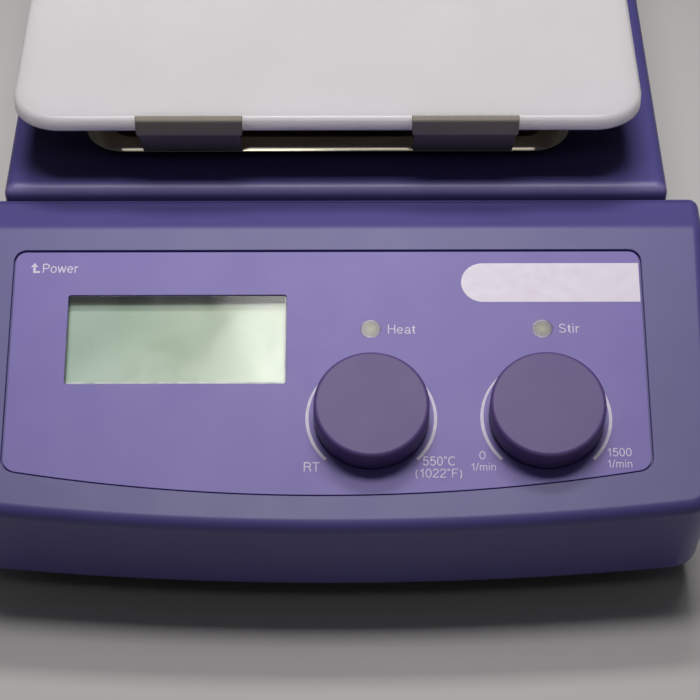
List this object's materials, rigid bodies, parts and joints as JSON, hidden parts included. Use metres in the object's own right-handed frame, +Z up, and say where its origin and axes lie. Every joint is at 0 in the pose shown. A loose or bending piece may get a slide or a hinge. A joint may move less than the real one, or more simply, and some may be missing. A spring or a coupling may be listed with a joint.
{
  "type": "hotplate stirrer",
  "caption": "Bench hotplate with a square white glass-ceramic top over a magnetic stirring drive, and a sloping console with a display and two push-and-turn dials.",
  "frame": {"origin": "on the bench under the middle of the overall box, level with the bottom of the feet", "axes": "+Z up, +Y towards the rear panel, +X to the right of a user who faces the sloping console"},
  "size_m": [0.215, 0.36, 0.1122],
  "materials": {
    "housing_paint": "satin blue-violet powder coat with a fine texture",
    "panel_film": "violet polycarbonate film, satin, back printed",
    "display_glass": "grey-green reflective liquid crystal display behind a gloss window",
    "lamp_lens": "translucent grey lamp window",
    "dial_plastic": "grey-violet moulded plastic, fine matt texture",
    "glass_ceramic": "opaque white glass ceramic, smooth, ground edge",
    "stainless": "bright rolled stainless sheet",
    "clip_steel": "dark heat-tinted spring steel strip",
    "bright_metal": "bright turned or plated metal",
    "alloy": "plain aluminium",
    "iron": "plated magnet and core steel",
    "winding": "enamelled copper winding",
    "board": "green circuit board",
    "ceramic_fibre": "pressed ceramic fibre board",
    "element_alloy": "oxidised resistance ribbon",
    "black_plastic": "black moulded plastic",
    "white_plastic": "natural moulded plastic",
    "fuse_glass": "glass tube with plated caps",
    "foot_rubber": "black moulded rubber",
    "tray_paint": "dark satin paint on pressed steel",
    "cable_grey": "grey ribbon cable sheath"
  },
  "bodies": {
    "root": {"console_housing": "housing_paint", "rear_housing": "housing_paint", "bottom_tray": "tray_paint", "foot_front_left": "foot_rubber", "foot_front_right": "foot_rubber", "foot_rear_left": "foot_rubber", "foot_rear_right": "foot_rubber", "panel_overlay": "panel_film", "display_window": "display_glass", "lcd_module": "display_glass", "control_board": "board", "heat_lamp_lens": "lamp_lens", "stir_lamp_lens": "lamp_lens", "heat_encoder": "alloy", "stir_encoder": "alloy", "glass_plate": "glass_ceramic", "heat_shield": "stainless", "heater_pan": "stainless", "insulation_block": "ceramic_fibre", "heating_element": "element_alloy", "plate_sensor": "bright_metal", "shield_post_front_left": "bright_metal", "shield_post_front_right": "bright_metal", "shield_post_rear_left": "bright_metal", "shield_post_rear_right": "bright_metal", "plate_clip_front_left": "clip_steel", "plate_clip_front_right": "clip_steel", "plate_clip_rear_left": "clip_steel", "plate_clip_rear_right": "clip_steel", "motor_bracket": "alloy", "motor_can": "alloy", "stator_core": "winding", "bearing_lower": "bright_metal", "bearing_upper": "bright_metal", "power_board": "board", "transformer": "winding", "heat_sink": "alloy", "ribbon_cable": "cable_grey", "mains_inlet": "black_plastic", "inlet_pin_earth": "bright_metal", "inlet_pin_line": "bright_metal", "inlet_pin_neutral": "bright_metal", "power_switch_housing": "black_plastic", "serial_port": "bright_metal", "sensor_socket": "bright_metal", "rod_socket": "bright_metal"},
    "heat_carriage": {"heat_plunger": "white_plastic"},
    "heat_dial": {"heat_shaft": "bright_metal", "heat_knob": "dial_plastic"},
    "stir_carriage": {"stir_plunger": "white_plastic"},
    "stir_dial": {"stir_shaft": "bright_metal", "stir_knob": "dial_plastic"},
    "rocker": {"power_rocker": "black_plastic"},
    "fuse_holder": {"fuse_drawer": "black_plastic", "fuse": "fuse_glass"},
    "rotor": {"motor_shaft": "bright_metal", "motor_rotor": "iron", "magnet_holder": "alloy", "magnet_a": "iron", "magnet_b": "iron"}
  },
  "joints": [
    {"name": "heat_push", "type": "slide", "parent": "root", "child": "heat_carriage", "axis": [0, 0.3681, -0.9298], "range_m": [0, 0.0008], "stiffness_N_per_m": 1500, "springref_m": -0.001},
    {"name": "heat_turn", "type": "hinge", "parent": "heat_carriage", "child": "heat_dial", "pos_m": [0.01, -0.14857, 0.05986], "axis": [0, 0.3681, -0.9298], "range_deg": [0, 270]},
    {"name": "stir_push", "type": "slide", "parent": "root", "child": "stir_carriage", "axis": [0, 0.3681, -0.9298], "range_m": [0, 0.0008], "stiffness_N_per_m": 1500, "springref_m": -0.001},
    {"name": "stir_turn", "type": "hinge", "parent": "stir_carriage", "child": "stir_dial", "pos_m": [0.0591, -0.14857, 0.05986], "axis": [0, 0.3681, -0.9298], "range_deg": [0, 270]},
    {"name": "power_switch", "type": "hinge", "parent": "root", "child": "rocker", "pos_m": [-0.072, 0.1727, 0.052], "axis": [1, 0, 0], "range_deg": [0, 22]},
    {"name": "fuse_drawer_slide", "type": "slide", "parent": "root", "child": "fuse_holder", "axis": [0, 1, 0], "range_m": [0, 0.022]},
    {"name": "stirrer_spin", "type": "hinge", "parent": "root", "child": "rotor", "pos_m": [-0.0024, 0.015, 0.05], "axis": [0, 0, 1], "continuous": true}
  ]
}
